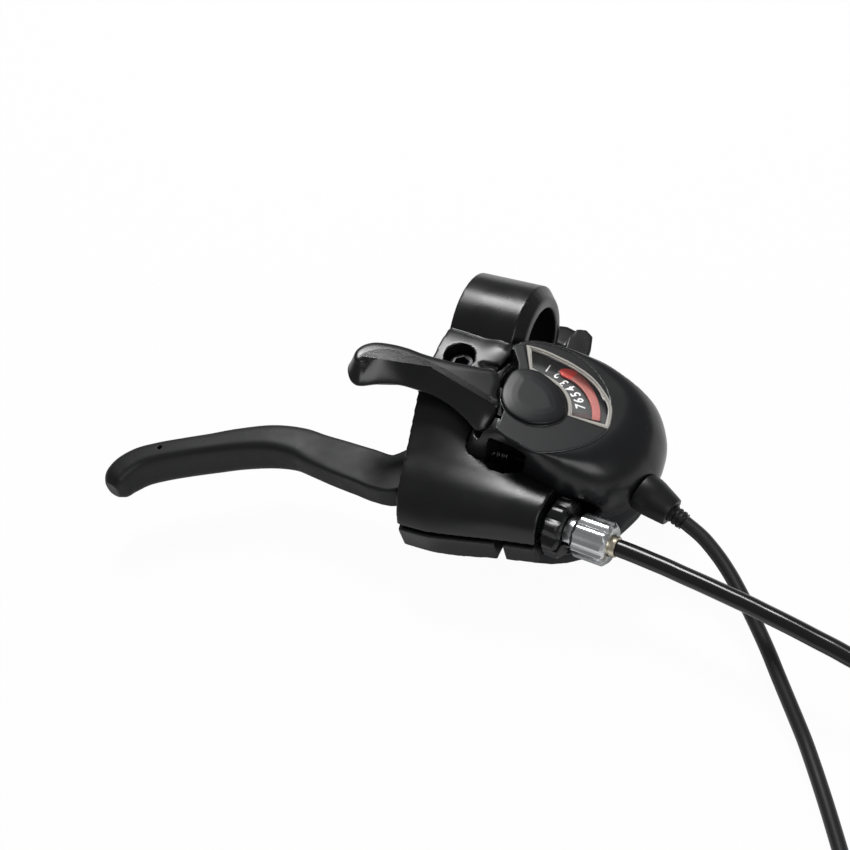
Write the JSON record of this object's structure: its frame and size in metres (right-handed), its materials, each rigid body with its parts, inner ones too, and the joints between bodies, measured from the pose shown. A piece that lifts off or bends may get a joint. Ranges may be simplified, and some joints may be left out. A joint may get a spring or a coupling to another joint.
{
  "type": "thumb shifter",
  "caption": "Right-hand flat-bar brake lever with an integrated indexed thumb shifter, optical gear display, barrel adjuster and both cable casings.",
  "frame": {"origin": "centre of the handlebar clamp's bore, midway along its parallel part", "axes": "+X along the handlebar towards the stem, +Y towards the rider, +Z square to the plane the brake lever swings in"},
  "size_m": [0.2442, 0.1498, 0.0564],
  "materials": {
    "black_body": "satin moulded nylon",
    "dome_black": "semi-gloss moulded shell",
    "lever_black": "fine matt powder coat",
    "clear": "clear window with frosted rim",
    "dial_grey": "matt dark grey",
    "needle_red": "red",
    "steel": "zinc plated steel",
    "dark_steel": "blackened steel",
    "silver": "bright turned aluminium",
    "brass": "pale plated brass",
    "acetal": "natural acetal",
    "casing": "extruded black jacket"
  },
  "bodies": {
    "housing": {"base_plate": "steel", "bottom_cover": "dome_black", "bracket": "black_body", "brake_casing": "casing", "brake_casing_end": "silver", "brake_ferrule": "brass", "brake_wire": "steel", "cable_outlet": "black_body", "clamp_nut": "steel", "cover_screw_1": "steel", "cover_screw_2": "steel", "cover_screw_3": "steel", "dial_plate": "dial_grey", "indicator_cover": "black_body", "indicator_lens": "clear", "lever_pivot_pin": "steel", "lever_spring": "steel", "outlet_sleeve": "black_body", "shift_casing": "casing", "shift_casing_end": "silver", "shift_housing": "dome_black", "shift_wire": "steel", "thumb_spring": "steel"},
    "clamp_bolt": {"clamp_bolt": "dark_steel"},
    "brake_lever": {"brake_lever": "lever_black", "brake_wire_nipple": "silver"},
    "lock_ring": {"lock_ring": "black_body"},
    "barrel_adjuster": {"barrel_adjuster": "silver"},
    "reach_screw": {"reach_screw": "dark_steel"},
    "gear_display": {"cable_spool": "acetal", "gear_needle": "needle_red"},
    "thumb_lever": {"thumb_lever": "dark_steel", "main_axle": "steel", "axle_nut": "steel", "drive_plate": "steel"},
    "drive_pawl": {"drive_pawl": "steel"},
    "holding_pawl": {"holding_pawl": "steel"},
    "release_lever": {"release_lever": "black_body"}
  },
  "joints": [
    {"name": "brake_lever_pull", "type": "hinge", "parent": "housing", "child": "brake_lever", "pos_m": [0.002, -0.031, -0.0076], "axis": [0, 0, -1], "range_deg": [0, 22], "stiffness_Nm_per_rad": 0.3, "springref_deg": -8.59, "deforming": ["brake_wire", "lever_spring"]},
    {"name": "thumb_lever_push", "type": "hinge", "parent": "housing", "child": "thumb_lever", "pos_m": [0.026, -0.0319, 0.0142], "axis": [-0.2418, -0.0349, -0.9697], "range_deg": [0, 34], "stiffness_Nm_per_rad": 0.1, "springref_deg": -17.19, "deforming": ["thumb_spring"]},
    {"name": "release_lever_pull", "type": "hinge", "parent": "housing", "child": "release_lever", "pos_m": [0.026, -0.0319, 0.0142], "axis": [-0.2418, -0.0349, -0.9697], "range_deg": [0, 12], "stiffness_Nm_per_rad": 0.05, "springref_deg": -11.46},
    {"name": "gear_index", "type": "hinge", "parent": "housing", "child": "gear_display", "pos_m": [0.026, -0.0319, 0.0142], "axis": [0.2418, 0.0349, 0.9697], "range_deg": [-52, 10.4], "deforming": ["shift_wire"]},
    {"name": "holding_pawl_lift", "type": "hinge", "parent": "housing", "child": "holding_pawl", "pos_m": [0.04184, -0.03361, 0.01031], "axis": [-0.2418, -0.0349, -0.9697], "range_deg": [0, 12], "stiffness_Nm_per_rad": 0.0002, "springref_deg": -5.73},
    {"name": "drive_pawl_lift", "type": "hinge", "parent": "thumb_lever", "child": "drive_pawl", "pos_m": [0.03326, -0.0176, 0.01188], "axis": [-0.2418, -0.0349, -0.9697], "range_deg": [0, 12], "stiffness_Nm_per_rad": 0.0002, "springref_deg": -5.73},
    {"name": "lock_ring_turn", "type": "hinge", "parent": "housing", "child": "lock_ring", "pos_m": [0.036, -0.055, -0.0076], "axis": [0.9968, -0.0802, 0], "continuous": true},
    {"name": "barrel_adjuster_turn", "type": "hinge", "parent": "housing", "child": "barrel_adjuster", "pos_m": [0.036, -0.055, -0.0076], "axis": [0.9968, -0.0802, 0], "continuous": true},
    {"name": "reach_screw_turn", "type": "hinge", "parent": "housing", "child": "reach_screw", "pos_m": [0.0144, -0.0394, -0.0036], "axis": [1, 0, 0], "continuous": true},
    {"name": "clamp_bolt_turn", "type": "hinge", "parent": "housing", "child": "clamp_bolt", "pos_m": [-0.0025, -0.021, 0], "axis": [0, 0, 1], "continuous": true}
  ]
}
